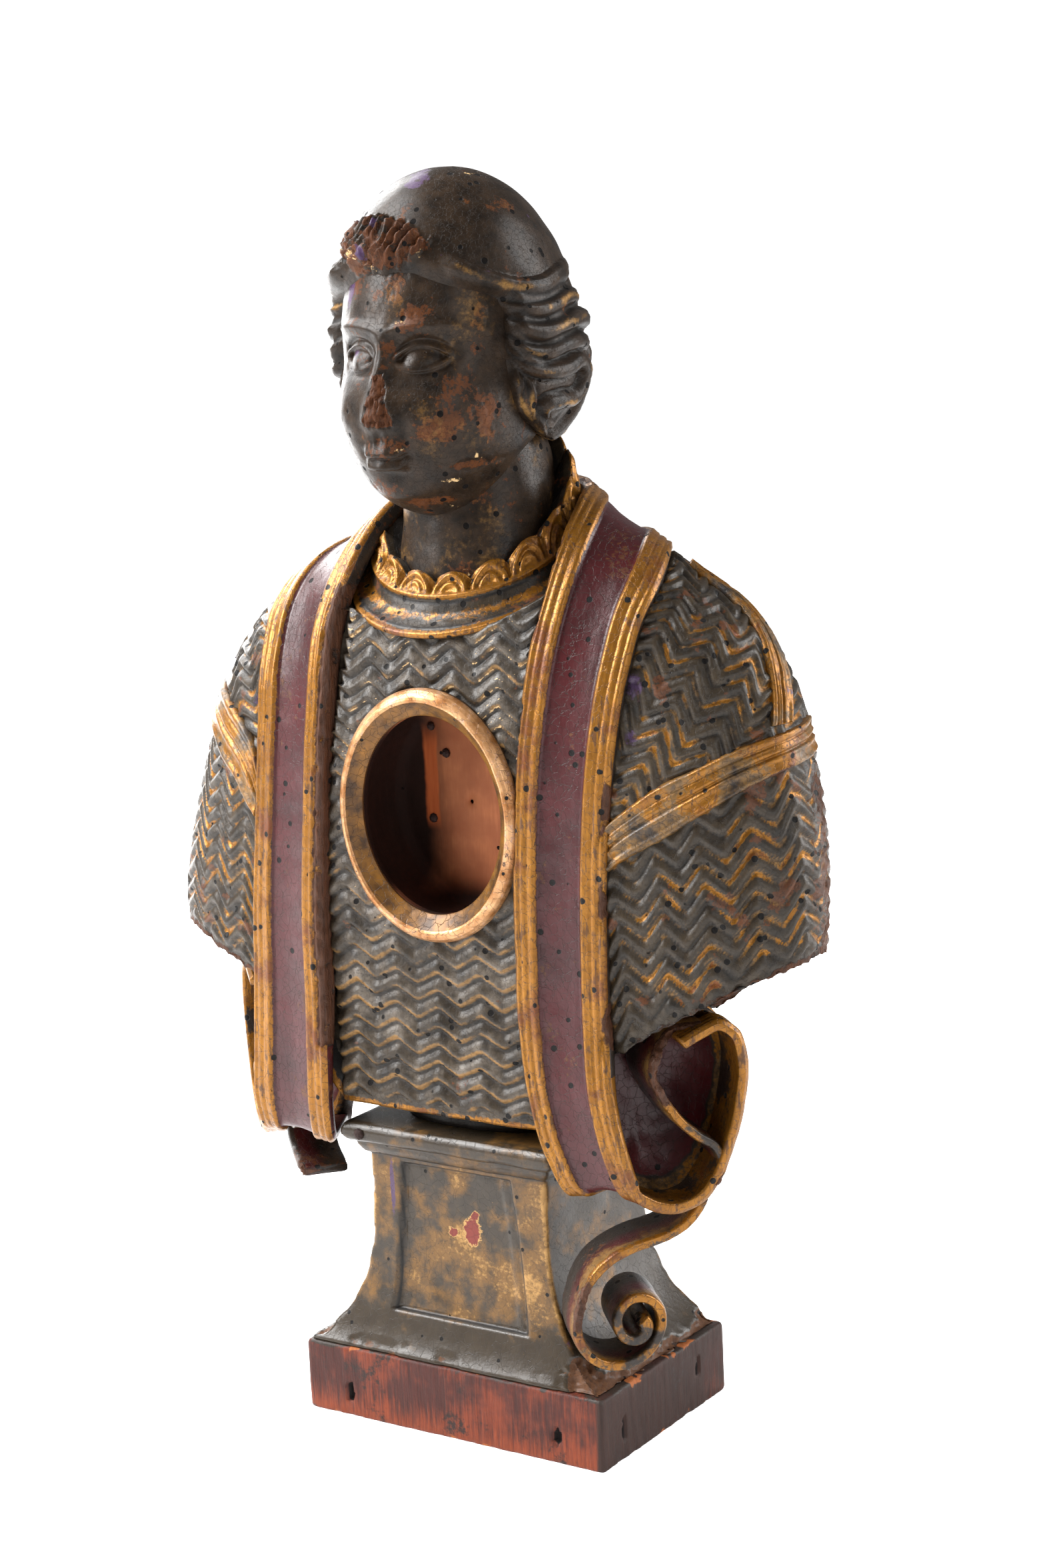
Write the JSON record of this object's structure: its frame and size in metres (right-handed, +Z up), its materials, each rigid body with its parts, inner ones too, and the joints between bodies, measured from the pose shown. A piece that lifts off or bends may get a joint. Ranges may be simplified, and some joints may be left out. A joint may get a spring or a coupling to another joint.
{
  "type": "reliquary bust",
  "caption": "Carved, painted and gilded wooden bust in a ribbed dress and stole, with an oval window into a relic chamber in its chest, on a flared socle.",
  "frame": {"origin": "middle of the base board's underside", "axes": "the bust faces -Y, +X is to the viewer's right, +Z is up"},
  "size_m": [0.3579, 0.1391, 0.5998],
  "materials": {
    "painted_wood": "blackened polychromy with worn gilding",
    "gilded_wood": "worn water gilding",
    "socle_wood": "rubbed dark grey paint and gilding",
    "base_wood": "red-brown stained, sawn",
    "iron": "rusted"
  },
  "bodies": {
    "root": {"bust": "painted_wood", "relic_window_frame": "gilded_wood", "pedestal": "socle_wood", "base_board": "base_wood", "moulding_nail": "iron", "chamber_nail_1": "iron", "chamber_nail_2": "iron", "chamber_nail_3": "iron"}
  },
  "joints": []
}
